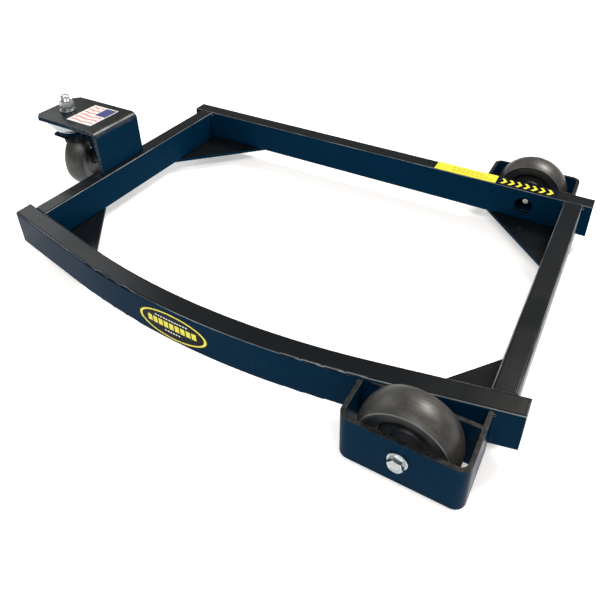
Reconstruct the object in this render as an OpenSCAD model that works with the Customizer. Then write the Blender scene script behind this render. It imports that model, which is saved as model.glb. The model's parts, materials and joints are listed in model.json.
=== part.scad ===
// Mobile machine base: a welded rectangular-tube frame with a bowed front rail, two fixed
// wheels in strap boxes at the right-hand end and one swivel caster under a raised bracket
// at the left-hand end. A machine stands on the four corner plates, inside the rails.
//
// X runs along the rails, -Y is the bowed front, Z is up. The origin is on the floor, under
// the middle of the bounding box.

/* [Frame] */
// Length of the front and rear rails
rail_len = 700; // [640:1:850]
// Front rail's end to the back of the rear rail
frame_d = 420; // [400:1:560]
// Height of the rectangular tube
tube_h = 50.8; // [50:0.1:55]
// Width of the rectangular tube
tube_w = 25.4; // [24:0.1:30]
// Wall of the rectangular tube
tube_wall = 3; // [2:0.1:4]
// Outer corner radius of the tube
tube_r = 3.2; // [3.1:0.1:4]
// Setback of each side rail from the ends of the long rails
side_inset = 12.7; // [8:0.1:25]
// Slope of the straight ends of the bowed rail, in degrees
bow_slope = 11.3; // [8:0.1:13]
// Straight length at each end of the bowed rail
bow_flat = 146; // [120:1:160]
// Thickness of the plates that close the rail ends
cap_t = 3; // [2:0.5:4]
// Diameter of the hole that lets a socket reach an axle nut inside the tube
access_d = 25.4; // [24:0.1:28]

/* [Corner plates] */
// Visible leg of each triangular plate
plate_leg = 98; // [80:1:120]
// Thickness of each plate
plate_t = 4.8; // [3:0.1:6.4]
// How far each plate reaches under the rails
plate_lap = 16; // [10:1:18]

/* [Fixed wheels] */
// Outside diameter of every wheel
wheel_d = 104; // [100:0.1:104.4]
// Width of the tread
tread_w = 38; // [30:1:39]
// Length of the hub through a fixed wheel
hub_len = 41.3; // [40:0.1:41.3]
// Axle position along the rails
axle_x = 608; // [600:1:612]
// Outside width of the strap box
box_w = 128; // [120:1:132]
// Height of the strap
strap_h = 56.5; // [45:0.5:60]
// Thickness of the strap
strap_t = 4.8; // [3:0.1:6.4]
// Outside bend radius of the strap
strap_r = 12; // [8:1:20]
// Strap's upper edge below the top of the rails
strap_drop = 2.6; // [0:0.1:6]
// Front box's outer face, ahead of the front rail's end
box_reach = 80.5; // [79:0.5:86]

/* [Caster] */
// Swivel axis along the rails
stem_x = -71; // [-78:1:-71]
// Swivel axis, behind the front rail's end
stem_y = 175; // [168:1:190]
// Height of the bracket's top face above the rails
bracket_rise = 69; // [66:0.5:71]
// Width of the bent bracket plate
bracket_w = 87; // [80:1:100]
// Thickness of the bent bracket plate
bracket_t = 6.35; // [5:0.05:8]
// Bracket's free end
bracket_end = -102; // [-116:1:-102]
// Outer face of the bracket's wall, on the left rail
bracket_wall = 29; // [26:1:34]
// Front edge of the bracket
bracket_y = 135; // [128:1:138]
// Swivel axis to wheel axle, measured level
trail = 30; // [27:1:30]
// Width of the caster wheel's tread
caster_tread_w = 34; // [30:1:36]
// Length of the hub through the caster wheel
caster_hub_len = 37; // [37:0.1:41.3]
// Angle of the caster's axle from the rails, in degrees
caster_yaw = 16; // [0:1:45]

/* [Hidden] */
$fn = 64;

paint = "#16181b";
zinc = "#b9bdc2";
rubber = "#2a2927";

// Levels. The wheels stand on the floor and the rails' middle is at axle height.
axle_z = wheel_d / 2;
rail_z0 = axle_z - tube_h / 2;
rail_z1 = rail_z0 + tube_h;
strap_z0 = rail_z1 - strap_drop - strap_h;

// Bowed rail: its outer face is an arc that meets the two straight ends tangentially.
bow_half = rail_len / 2 - bow_flat;
bow_R = bow_half / sin(bow_slope);
bow_sag = bow_flat * tan(bow_slope) + bow_R * (1 - cos(bow_slope));
bow_centre = [rail_len / 2, bow_R - bow_sag];
bow_end_run = bow_flat / cos(bow_slope) + tube_w;

// Inside corners of the frame
side_in = side_inset + tube_w;
rear_in = frame_d - tube_w;
bow_in = tube_w / cos(bow_slope) - side_in * tan(bow_slope);

// Axle stack, from the strap's outer face inwards
washer_t = 2.1;
washer_d = 20.6;
thrust_d = 26;
well = hub_len + 2 * washer_t + 0.2;
stack = well + 2 * strap_t;
bolt_d = 9.5;
hex_af = 14.3;
head_h = 6.2;
nut_h = 10;
sleeve_d = 13;
bush_d = 17;
stem_d = 12.7;
stem_af = 19.05;
stem_nut_h = 11;
run_fit = 0.08;
slip_fit = 0.1;
nut_clear_d = 25;

// Caster levels
bracket_z1 = rail_z1 + bracket_rise;
bracket_z0 = bracket_z1 - bracket_t;
crown_z0 = 109.5;
crown_t = 4;
ball_d = 5.8;
ball_track_r = 11;
cup_r = 36;
fork_gap = caster_hub_len + 2 * washer_t + 0.2;
leg_t = 4;
leg_r = 15;

// The origin is under the middle of the bounding box, whose lowest x is the caster's bolt head
head_reach = fork_gap / 2 + leg_t + washer_t + head_h;
x_min = stem_x - trail * sin(caster_yaw) - head_reach * cos(caster_yaw) - 3;
x_max = rail_len;
y_min = -box_reach - washer_t - head_h;
y_max = frame_d + stack + washer_t + head_h;
origin = [round((x_min + x_max) / 2), round((y_min + y_max) / 2), 0];

module place() translate(-origin) children();

// ---------- shared shapes ----------

// Rectangle with round corners, from the origin into +X +Y
module rounded_rect(w, h, r) {
    translate([r, 0]) square([w - 2 * r, h]);
    translate([0, r]) square([w, h - 2 * r]);
    for (x = [r, w - r], y = [r, h - r]) translate([x, y]) circle(r = r);
}

module tube_section() rounded_rect(tube_w, tube_h, tube_r);

module tube_bore_section()
    translate([tube_wall, tube_wall])
        rounded_rect(tube_w - 2 * tube_wall, tube_h - 2 * tube_wall, tube_r - tube_wall + 1);

// Extrudes a section along +X: the section's x becomes Y and its y becomes Z
module along_x(length) rotate([90, 0, 90]) linear_extrude(length) children();

// Extrudes a section along -Y: the section's x stays X and its y becomes Z
module along_y(length) rotate([90, 0, 0]) linear_extrude(length) children();

// Sweeps a section along the bow. The section's x is measured outwards from the arc's
// centre, so its outer edge lies at bow_R.
module bow_sweep(run = bow_end_run) {
    translate([bow_centre[0], bow_centre[1], 0])
        rotate([0, 0, 270 - bow_slope])
            rotate_extrude(angle = 2 * bow_slope, $fn = 128) children();
    for (side = [0, 1])
        translate([rail_len / 2, 0, 0]) mirror([side, 0, 0]) translate([-rail_len / 2, 0, 0])
            translate([bow_centre[0], bow_centre[1], 0])
                rotate([0, 0, 270 - bow_slope])
                    along_y(run) children();
}

// Everything behind the bow's outer face, for cutting pieces that butt against it
module behind_bow(depth)
    bow_sweep() translate([bow_R - depth, rail_z0 - 20]) square([depth, tube_h + 40]);

module bow_outer() bow_sweep() translate([bow_R - tube_w, rail_z0]) tube_section();

module bow_bore() bow_sweep() translate([bow_R - tube_w, rail_z0]) tube_bore_section();

// Hexagonal prism across flats af, along +Z, with its outer corners turned off at the top
module hex(af, h) intersection() {
    cylinder(d = af / cos(30), h = h, $fn = 6);
    cylinder(r1 = af / 2 + h, r2 = af / 2 - 0.3, h = h + 0.01);
}

module ring(d, bore, h) difference() {
    cylinder(d = d, h = h);
    translate([0, 0, -1]) cylinder(d = bore, h = h + 2);
}

// Turns +Z into +Y, for parts on a fixed wheel's axle
module on_axle() rotate([-90, 0, 0]) children();

// Local frame of each fixed wheel: the origin is on the strap's outer face, +Y runs inwards
module at_front_axle() translate([axle_x, -box_reach, axle_z]) children();
module at_rear_axle()
    translate([axle_x, frame_d + stack, axle_z]) rotate([0, 0, 180]) children();

// Local frame of the caster's wheel axle: the origin is the wheel's middle, +Z is its axis
module at_caster_axle()
    translate([stem_x, stem_y, axle_z])
        rotate([0, 0, caster_yaw]) translate([0, trail, 0]) rotate([0, 90, 0]) children();

module at_stem(z) translate([stem_x, stem_y, z]) children();

// ---------- frame ----------

module bow_rail() color(paint) place()
    intersection() {
        difference() {
            bow_outer();
            bow_bore();
            // Nut clearance in the outer wall and access hole in the inner wall
            translate([axle_x, -40, axle_z]) on_axle() cylinder(d = nut_clear_d, h = 31);
            translate([axle_x, -9, axle_z]) on_axle() cylinder(d = access_d, h = 31);
        }
        translate([cap_t, -bow_sag - 10, 0]) cube([rail_len - 2 * cap_t, 200, 200]);
    }

module rear_rail() color(paint) place()
    difference() {
        translate([cap_t, rear_in, rail_z0]) along_x(rail_len - 2 * cap_t) difference() {
            tube_section();
            tube_bore_section();
        }
        translate([axle_x, rear_in - 1, axle_z]) on_axle() cylinder(d = access_d, h = 10);
        translate([axle_x, frame_d - 9, axle_z]) on_axle() cylinder(d = nut_clear_d, h = 10);
    }

// Side rail between the bow's inner face and the rear rail
module side_rail(x)
    difference() {
        translate([x, rear_in, rail_z0]) along_y(rear_in) difference() {
            tube_section();
            tube_bore_section();
        }
        behind_bow(tube_w);
    }

module left_rail() color(paint) place() side_rail(side_inset);
module right_rail() color(paint) place() side_rail(rail_len - side_inset - tube_w);

module rail_end_caps() color(paint) place()
    for (x = [0, rail_len - cap_t]) {
        intersection() {
            bow_outer();
            translate([x, -10, 0]) cube([cap_t, 60, 200]);
        }
        translate([x, rear_in, rail_z0]) along_x(cap_t) tube_section();
    }

// ---------- corner plates ----------

// Where the line through p along d meets the line through q along e
function meet(p, d, q, e) =
    p + d * ((q[0] - p[0]) * e[1] - (q[1] - p[1]) * e[0]) / (d[0] * e[1] - d[1] * e[0]);

// Outline of the plate in the inside corner at [0, 0], lapping under both rails. One leg
// runs along +Y and the other along +X, turned down by slope.
module lap_outline(slope) {
    along = [cos(slope), -sin(slope)];
    inward = [sin(slope), cos(slope)];
    tip_side = [0, plate_leg];
    edge = plate_leg * along - tip_side;
    lap_side = [-plate_lap, 0];
    lap_rail = -plate_lap * inward;
    polygon([
        meet(lap_side, [0, 1], lap_rail, along),
        meet(lap_side, [0, 1], tip_side, edge),
        meet(lap_rail, along, tip_side, edge)
    ]);
}

// The part of it that a machine stands on: clear of the rails, and of the weld in the corner
module rest_outline(slope, grow = 0) {
    gap = 0.3 - grow;
    clear = 8 - grow;
    along = [cos(slope), -sin(slope)];
    inward = [sin(slope), cos(slope)];
    tip_side = [0, plate_leg];
    edge = plate_leg * along - tip_side;
    beyond = tip_side + [0, 20 * grow];
    corner = meet([gap, 0], [0, 1], gap * inward, along);
    polygon([
        corner + [0, clear],
        meet([gap, 0], [0, 1], beyond, edge),
        meet(gap * inward, along, beyond, edge),
        corner + clear * along
    ]);
}

// One plate. The resting face is a solid of its own, a hair's breadth from the rest of it.
module plate(slope) translate([0, 0, rail_z0 - plate_t]) {
    linear_extrude(plate_t) rest_outline(slope);
    linear_extrude(plate_t) difference() {
        lap_outline(slope);
        rest_outline(slope, 0.05);
    }
}

module front_left_corner() translate([side_in, bow_in, 0]) children();
module front_right_corner() translate([rail_len - side_in, bow_in, 0]) mirror([1, 0, 0]) children();
module rear_left_corner() translate([side_in, rear_in, 0]) mirror([0, 1, 0]) children();
module rear_right_corner()
    translate([rail_len - side_in, rear_in, 0]) rotate([0, 0, 180]) children();

module corner_plate_front_left() color(paint) place() front_left_corner() plate(bow_slope);
module corner_plate_front_right() color(paint) place() front_right_corner() plate(bow_slope);
module corner_plate_rear_left() color(paint) place() rear_left_corner() plate(0);
module corner_plate_rear_right() color(paint) place() rear_right_corner() plate(0);

// ---------- wheel boxes ----------

// Strap bent to a U, open towards +Y; its legs are deep enough to be cut to the rail
module strap(depth) difference() {
    translate([-box_w / 2, 0, strap_z0]) linear_extrude(strap_h) difference() {
        rounded_rect(box_w, depth + 2 * strap_r, strap_r);
        translate([strap_t, strap_t])
            rounded_rect(box_w - 2 * strap_t, depth + 2 * strap_r, strap_r - strap_t);
    }
    translate([-box_w, depth, 0]) cube([2 * box_w, 100, 200]);
    translate([0, -1, axle_z]) on_axle() cylinder(d = bolt_d + 0.5, h = strap_t + 2);
}

module front_wheel_strap() color(paint) place() difference() {
    translate([axle_x, -box_reach, 0]) strap(box_reach + 10);
    behind_bow(90);
}

module rear_wheel_strap() color(paint) place()
    translate([axle_x, frame_d + stack, 0]) rotate([0, 0, 180]) strap(stack);

// Plate between the strap's legs that carries the inner end of the axle
module backing_plate() difference() {
    translate([-box_w / 2 + strap_t, stack - strap_t, strap_z0])
        cube([box_w - 2 * strap_t, strap_t, strap_h]);
    translate([0, stack - strap_t - 1, axle_z]) on_axle() cylinder(d = bolt_d + 0.5, h = strap_t + 2);
}

module front_backing_plate() color(paint) place() difference() {
    translate([axle_x, -box_reach, 0]) backing_plate();
    behind_bow(90);
}

module rear_backing_plate() color(paint) place()
    translate([axle_x, frame_d + stack, 0]) rotate([0, 0, 180]) backing_plate();

// ---------- caster bracket ----------

// L section in X and Z, drawn with x = X and y = Z
module bracket_section() {
    bend_r = 10;
    wall_x0 = bracket_wall - bracket_t;
    translate([bracket_end, bracket_z0])
        square([bracket_wall - bend_r - bracket_end, bracket_t]);
    translate([wall_x0, rail_z1]) square([bracket_t, bracket_z1 - bend_r - rail_z1]);
    intersection() {
        translate([bracket_wall - bend_r, bracket_z1 - bend_r]) difference() {
            circle(r = bend_r);
            circle(r = bend_r - bracket_t);
        }
        translate([bracket_wall - bend_r, bracket_z1 - bend_r]) square(bend_r);
    }
}

module caster_bracket() color(paint) place() difference() {
    corner_clip = 9;
    translate([0, bracket_y + bracket_w, 0]) along_y(bracket_w) bracket_section();
    at_stem(bracket_z0 - 1) cylinder(d = stem_d + 0.5, h = bracket_t + 2);
    for (y = [bracket_y, bracket_y + bracket_w])
        translate([bracket_end, y, bracket_z0 + bracket_t / 2]) rotate([0, 0, 45])
            cube([corner_clip * sqrt(2), corner_clip * sqrt(2), bracket_t + 2], center = true);
}

// ---------- welds ----------

// Quarter-round bead standing along +Z in the corner between two directions, in degrees
module bead(length, from, to, r = 3) linear_extrude(length) intersection() {
    circle(r = r);
    polygon([
        [0, 0], 3 * r * [cos(from), sin(from)],
        3 * r * [cos((from + to) / 2), sin((from + to) / 2)], 3 * r * [cos(to), sin(to)]
    ]);
}

module corner_welds() color(paint) place() {
    bead_z = rail_z0 + tube_r;
    bead_len = tube_h - 2 * tube_r;
    front_left_corner() translate([0, 0.02, bead_z]) bead(bead_len, -bow_slope, 90);
    front_right_corner() translate([0, 0.02, bead_z]) bead(bead_len, -bow_slope, 90);
    rear_left_corner() translate([0, 0, bead_z]) bead(bead_len, 0, 90);
    rear_right_corner() translate([0, 0, bead_z]) bead(bead_len, 0, 90);
    // Outer side of each side rail
    for (side = [0, 1]) translate([rail_len / 2, 0, bead_z]) mirror([side, 0, 0]) {
        x = side_inset - rail_len / 2;
        translate([x, tube_w / cos(bow_slope) - side_inset * tan(bow_slope) + 0.02, 0])
            bead(bead_len, 90, 180 - bow_slope, r = 2.5);
        translate([x, rear_in, 0]) bead(bead_len, 180, 270, r = 2.5);
    }
}

module wheel_box_welds() color(paint) place() {
    bead_len = strap_h - 2 * tube_r;
    bead_z = strap_z0 + tube_r + 1;
    left_x = axle_x - box_w / 2;
    right_x = axle_x + box_w / 2;
    left_d = left_x - bow_centre[0];
    bow_y = bow_centre[1] - sqrt(pow(bow_R, 2) - pow(left_d, 2));
    translate([left_x, bow_y - 0.02, bead_z]) bead(bead_len, 180 + asin(left_d / bow_R), 270);
    translate([right_x, -(rail_len - right_x) * tan(bow_slope) - 0.02, bead_z])
        bead(bead_len, -90, bow_slope);
    translate([left_x, frame_d, bead_z]) bead(bead_len, 90, 180);
    translate([right_x, frame_d, bead_z]) bead(bead_len, 0, 90);
}

module bracket_weld() color(paint) place()
    translate([bracket_wall - bracket_t, bracket_y + bracket_w - 3, rail_z1])
        rotate([90, 0, 0]) bead(bracket_w - 6, 90, 180, r = 4);

// One bead along each lapped edge, under the rails
module plate_bead(slope) {
    run = plate_leg * 0.6;
    translate([-plate_lap, 12, rail_z0]) rotate([-90, 0, 0]) bead(run, 90, 180);
    rotate([0, 0, -slope]) translate([12, -plate_lap, rail_z0])
        rotate([90, 0, 90]) bead(run, 180, 270);
}

module corner_plate_welds() color(paint) place() {
    front_left_corner() plate_bead(bow_slope);
    front_right_corner() plate_bead(bow_slope);
    rear_left_corner() plate_bead(0);
    rear_right_corner() plate_bead(0);
}

// ---------- axle hardware, in the axle's local frame with +Z inwards ----------

module axle_bolt() {
    point = 1;
    translate([0, 0, -washer_t - head_h]) mirror([0, 0, 1]) translate([0, 0, -head_h])
        hex(hex_af, head_h);
    shank = stack + nut_h + washer_t + 2;
    translate([0, 0, -washer_t]) cylinder(d = bolt_d, h = shank);
    translate([0, 0, shank - washer_t])
        cylinder(d1 = bolt_d, d2 = bolt_d - 2 * point, h = point);
}

module axle_washer() translate([0, 0, -washer_t]) ring(washer_d, bolt_d + 0.3, washer_t);

module axle_sleeve() translate([0, 0, strap_t]) ring(sleeve_d, bolt_d + 0.1, well);

module thrust_washers()
    for (z = [strap_t, strap_t + well - washer_t])
        translate([0, 0, z]) ring(thrust_d, sleeve_d + slip_fit, washer_t);

// Lock nut: a hexagon with a round collar for its insert
module lock_nut(h = nut_h) {
    collar_h = 3;
    difference() {
        union() {
            hex(hex_af, h - collar_h);
            cylinder(d = hex_af - 2, h = h);
        }
        translate([0, 0, -1]) cylinder(d = bolt_d + slip_fit, h = h + 2);
    }
}

// ---------- wheels, centred on the origin with the axle along Z ----------

// Half section with x as the radius and y along the axle. The tread is crowned, and a lip
// stands round the dished side, whose recess leaves a rim, a web and a hub boss.
module wheel_section(tread, hub) {
    r = wheel_d / 2;
    crown = 5;
    crown_r = (pow(tread / 2, 2) + pow(crown, 2)) / (2 * crown);
    lip_r = r - crown - 1.5;
    rim_in = 33;
    boss_r = 15;
    web = 14;
    difference() {
        intersection() {
            translate([r - crown_r, 0]) circle(r = crown_r, $fn = 128);
            translate([bush_d / 2, -tread / 2]) square([r, tread]);
        }
        for (side = [0, 1]) mirror([0, side])
            polygon([
                [boss_r, tread / 2 + 1], [boss_r, web / 2], [rim_in - 2, web / 2],
                [rim_in, tread / 2 - 3.5], [lip_r - 2, tread / 2 - 1.5], [lip_r, tread / 2 + 1]
            ]);
    }
    translate([bush_d / 2, -hub / 2]) square([boss_r - bush_d / 2, hub]);
}

module wheel(tread = tread_w, hub = hub_len)
    rotate_extrude($fn = 128) wheel_section(tread, hub);

module bushing(hub = hub_len) translate([0, 0, -hub / 2])
    ring(bush_d, sleeve_d + 2 * run_fit, hub);

module at_wheel() translate([0, 0, strap_t + well / 2]) children();

module front_axle_bolt() color(zinc) place() at_front_axle() on_axle() axle_bolt();
module front_axle_washer() color(zinc) place() at_front_axle() on_axle() axle_washer();
module front_axle_sleeve() color(zinc) place() at_front_axle() on_axle() axle_sleeve();
module front_thrust_washers() color(zinc) place() at_front_axle() on_axle() thrust_washers();
module front_axle_nut() color(paint) place() at_front_axle() on_axle()
    translate([0, 0, stack]) lock_nut();
module front_wheel() color(rubber) place() at_front_axle() on_axle() at_wheel() wheel();
module front_wheel_bushing() color(zinc) place() at_front_axle() on_axle() at_wheel() bushing();

module rear_axle_bolt() color(zinc) place() at_rear_axle() on_axle() axle_bolt();
module rear_axle_washer() color(zinc) place() at_rear_axle() on_axle() axle_washer();
module rear_axle_sleeve() color(zinc) place() at_rear_axle() on_axle() axle_sleeve();
module rear_thrust_washers() color(zinc) place() at_rear_axle() on_axle() thrust_washers();
module rear_axle_nut() color(paint) place() at_rear_axle() on_axle()
    translate([0, 0, stack]) lock_nut();
module rear_wheel() color(rubber) place() at_rear_axle() on_axle() at_wheel() wheel();
module rear_wheel_bushing() color(zinc) place() at_rear_axle() on_axle() at_wheel() bushing();

// ---------- caster ----------

stem_washer_t = 2.5;
lock_washer_t = 3;
stem_nut_z = bracket_z1 + stem_washer_t + lock_washer_t;
stem_top = stem_nut_z + stem_nut_h + 10;
rivet_h = 4;
play = 0.3;

// Threaded stem: its lower flange carries the fork and its thread passes the bracket
module stem_bolt() color(zinc) place() {
    point = 2;
    at_stem(crown_z0 - play - rivet_h) cylinder(d1 = 18, d2 = 22, h = rivet_h);
    at_stem(crown_z0 - play - 0.01) cylinder(d = stem_d, h = stem_top - point - crown_z0 + play);
    at_stem(stem_top - point - 0.01) cylinder(d1 = stem_d, d2 = stem_d - 2 * point, h = point);
}

module stem_washer() color(zinc) place() at_stem(bracket_z1) ring(24, stem_d + 0.3, stem_washer_t);

// Split lock washer
module stem_lock_washer() color(zinc) place() at_stem(bracket_z1 + stem_washer_t) difference() {
    ring(21.5, stem_d + 0.3, lock_washer_t);
    rotate([0, 0, -60]) translate([0, -0.8, -1]) cube([20, 1.6, lock_washer_t + 2]);
}

module stem_nut() color(zinc) place() at_stem(stem_nut_z) difference() {
    intersection() {
        hex(stem_af, stem_nut_h);
        mirror([0, 0, 1]) translate([0, 0, -stem_nut_h]) hex(stem_af, stem_nut_h);
    }
    translate([0, 0, -1]) cylinder(d = stem_d + slip_fit, h = stem_nut_h + 2);
}

// Pressed steel bowl under the bracket, open below over the ball race
module swivel_cup() color(zinc) place() at_stem(0) rotate_extrude($fn = 96) {
    floor_z = crown_z0 + crown_t + 6;
    rim_z = crown_z0 + crown_t + 0.6;
    bowl_r = bracket_z0 - rim_z + 3.7;
    bore_r = stem_d / 2 + slip_fit;
    difference() {
        intersection() {
            translate([cup_r - bowl_r, bracket_z0 + 1.5]) circle(r = bowl_r, $fn = 128);
            translate([bore_r, rim_z]) square([cup_r, bracket_z0 - rim_z]);
        }
        translate([0, rim_z - 1]) square([ball_track_r + 4, floor_z - rim_z + 1]);
    }
}

module on_fork() at_stem(0) rotate([0, 0, caster_yaw]) children();

// Top of the fork: a round plate with a flange over each leg, turning on the stem
module fork_crown() color(paint) place() on_fork() difference() {
    half_w = fork_gap / 2 + leg_t;
    union() {
        translate([0, 0, crown_z0]) cylinder(r = 21, h = crown_t);
        translate([-half_w, -16, crown_z0]) cube([2 * half_w, 34, crown_t]);
    }
    translate([0, 0, crown_z0 - 1]) cylinder(d = stem_d + 2 * run_fit, h = crown_t + 2);
}

module swivel_balls() color(zinc) place() on_fork() {
    balls = 9;
    for (i = [0 : balls - 1]) rotate([0, 0, i * 360 / balls])
        translate([ball_track_r, 0, crown_z0 + crown_t + 3]) sphere(d = ball_d, $fn = 32);
}

// Outline of one leg, with x as the level distance from the stem and y as the height
module leg_outline() {
    front = -16;
    back = 18;
    translate([trail, axle_z]) circle(r = leg_r);
    polygon([
        [front, crown_z0], [front, crown_z0 - 3], [6, crown_z0 - 20],
        [trail - leg_r * cos(35), axle_z - leg_r * sin(35)],
        [trail + leg_r * cos(20), axle_z + leg_r * sin(20)],
        [back, crown_z0 - 6], [back, crown_z0]
    ]);
}

module fork_legs() color(paint) place() on_fork() difference() {
    for (side = [0, 1]) mirror([side, 0, 0])
        translate([fork_gap / 2, 0, 0]) rotate([90, 0, 90]) linear_extrude(leg_t) leg_outline();
    translate([-fork_gap, trail, axle_z]) rotate([0, 90, 0])
        cylinder(d = bolt_d + 0.5, h = 2 * fork_gap);
}

fork_w = fork_gap + 2 * leg_t;

module caster_axle_bolt() color(paint) place() at_caster_axle() translate([0, 0, -fork_w / 2]) {
    shank = fork_w + nut_h + washer_t + 3;
    translate([0, 0, -washer_t - head_h]) mirror([0, 0, 1]) translate([0, 0, -head_h])
        hex(hex_af, head_h);
    translate([0, 0, -washer_t]) cylinder(d = bolt_d, h = shank);
}

module caster_axle_washers() color(paint) place() at_caster_axle()
    translate([0, 0, -fork_w / 2 - washer_t]) ring(washer_d, bolt_d + 0.3, washer_t);

module caster_axle_nut() color(paint) place() at_caster_axle()
    translate([0, 0, fork_w / 2]) lock_nut();

module caster_axle_sleeve() color(zinc) place() at_caster_axle()
    translate([0, 0, -fork_gap / 2]) ring(sleeve_d, bolt_d + 0.1, fork_gap);

module caster_thrust_washers() color(zinc) place() at_caster_axle()
    for (z = [-fork_gap / 2, fork_gap / 2 - washer_t])
        translate([0, 0, z]) ring(thrust_d, sleeve_d + slip_fit, washer_t);

module caster_wheel() color(rubber) place() at_caster_axle()
    wheel(caster_tread_w, caster_hub_len);
module caster_wheel_bushing() color(zinc) place() at_caster_axle() bushing(caster_hub_len);

bow_rail();
rear_rail();
left_rail();
right_rail();
rail_end_caps();
corner_plate_front_left();
corner_plate_front_right();
corner_plate_rear_left();
corner_plate_rear_right();
front_wheel_strap();
front_backing_plate();
rear_wheel_strap();
rear_backing_plate();
caster_bracket();
corner_welds();
wheel_box_welds();
bracket_weld();
corner_plate_welds();
front_axle_bolt();
front_axle_washer();
front_axle_sleeve();
front_thrust_washers();
front_axle_nut();
front_wheel();
front_wheel_bushing();
rear_axle_bolt();
rear_axle_washer();
rear_axle_sleeve();
rear_thrust_washers();
rear_axle_nut();
rear_wheel();
rear_wheel_bushing();
stem_bolt();
stem_washer();
stem_lock_washer();
stem_nut();
swivel_cup();
fork_crown();
fork_legs();
swivel_balls();
caster_axle_bolt();
caster_axle_washers();
caster_axle_nut();
caster_axle_sleeve();
caster_thrust_washers();
caster_wheel();
caster_wheel_bushing();
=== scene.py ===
"""Mobile machine base: detailed pieces, materials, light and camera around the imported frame.

Metres, in the frame's own axes: X along the rails, -Y the bowed front, Z up.
"""
import json
import math

import bmesh
import bpy
from mathutils import Matrix, Vector, noise

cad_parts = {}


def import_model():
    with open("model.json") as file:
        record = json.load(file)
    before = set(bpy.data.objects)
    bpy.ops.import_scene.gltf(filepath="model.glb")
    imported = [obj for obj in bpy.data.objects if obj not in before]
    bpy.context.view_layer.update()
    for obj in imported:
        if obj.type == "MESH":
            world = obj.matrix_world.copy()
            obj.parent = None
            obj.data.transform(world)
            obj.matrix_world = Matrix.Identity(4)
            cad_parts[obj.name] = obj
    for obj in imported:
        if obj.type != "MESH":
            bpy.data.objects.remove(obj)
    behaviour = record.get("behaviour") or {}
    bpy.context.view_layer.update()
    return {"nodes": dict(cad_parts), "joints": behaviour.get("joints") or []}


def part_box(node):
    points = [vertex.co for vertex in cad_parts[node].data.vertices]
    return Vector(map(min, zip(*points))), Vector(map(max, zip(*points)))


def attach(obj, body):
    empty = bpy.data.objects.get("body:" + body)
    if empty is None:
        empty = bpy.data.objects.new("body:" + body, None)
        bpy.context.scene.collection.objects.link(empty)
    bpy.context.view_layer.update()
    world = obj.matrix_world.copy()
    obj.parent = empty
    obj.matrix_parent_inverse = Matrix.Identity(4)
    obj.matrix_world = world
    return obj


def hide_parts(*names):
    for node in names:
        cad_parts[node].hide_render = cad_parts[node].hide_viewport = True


MM = 0.001

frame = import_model()
nodes = frame["nodes"]
joints = {j["name"]: j for j in frame["joints"]}


# ---------------------------------------------------------------- layout from the frame

caps_lo, caps_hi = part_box("rail_end_caps")
rear_lo, rear_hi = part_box("rear_rail")
left_lo, left_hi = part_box("left_rail")
right_lo, right_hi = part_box("right_rail")
strap_lo, strap_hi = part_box("front_wheel_strap")
_, rear_strap_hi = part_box("rear_wheel_strap")
bracket_lo, bracket_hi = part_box("caster_bracket")

BOW_SLOPE = math.radians(11.3)
BOW_FLAT = 146 * MM
CAP_T = 3 * MM
TUBE_W = 25.4 * MM
TUBE_R = 3.2 * MM
PLATE_LAP = 16 * MM
BRACKET_T = 6.35 * MM

end_x0, end_x1 = caps_lo.x, caps_hi.x
rail_len = end_x1 - end_x0
rail_z0, rail_z1 = rear_lo.z, rear_hi.z
front_y = caps_lo.y + CAP_T * math.tan(BOW_SLOPE)
bow_half = rail_len / 2 - BOW_FLAT
bow_radius = bow_half / math.sin(BOW_SLOPE)
bow_sag = BOW_FLAT * math.tan(BOW_SLOPE) + bow_radius * (1 - math.cos(BOW_SLOPE))
mid_x = (end_x0 + end_x1) / 2


def bow_y(x, inset=0.0):
    """Y of the bowed rail's outer face at x, or of a face that lies inset behind it."""
    d = abs(x - mid_x)
    if d > bow_half:
        run = rail_len / 2 - d
        return front_y - run * math.tan(BOW_SLOPE) + inset / math.cos(BOW_SLOPE)
    radius = bow_radius - inset
    return front_y - bow_sag + bow_radius - math.sqrt(radius * radius - d * d)


def bow_angle(x):
    """Turn of the outer face about Z at x: zero in the middle of the rail."""
    d = max(-bow_half, min(bow_half, x - mid_x))
    return math.asin(d / bow_radius)


# ---------------------------------------------------------------- shader helpers


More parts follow.
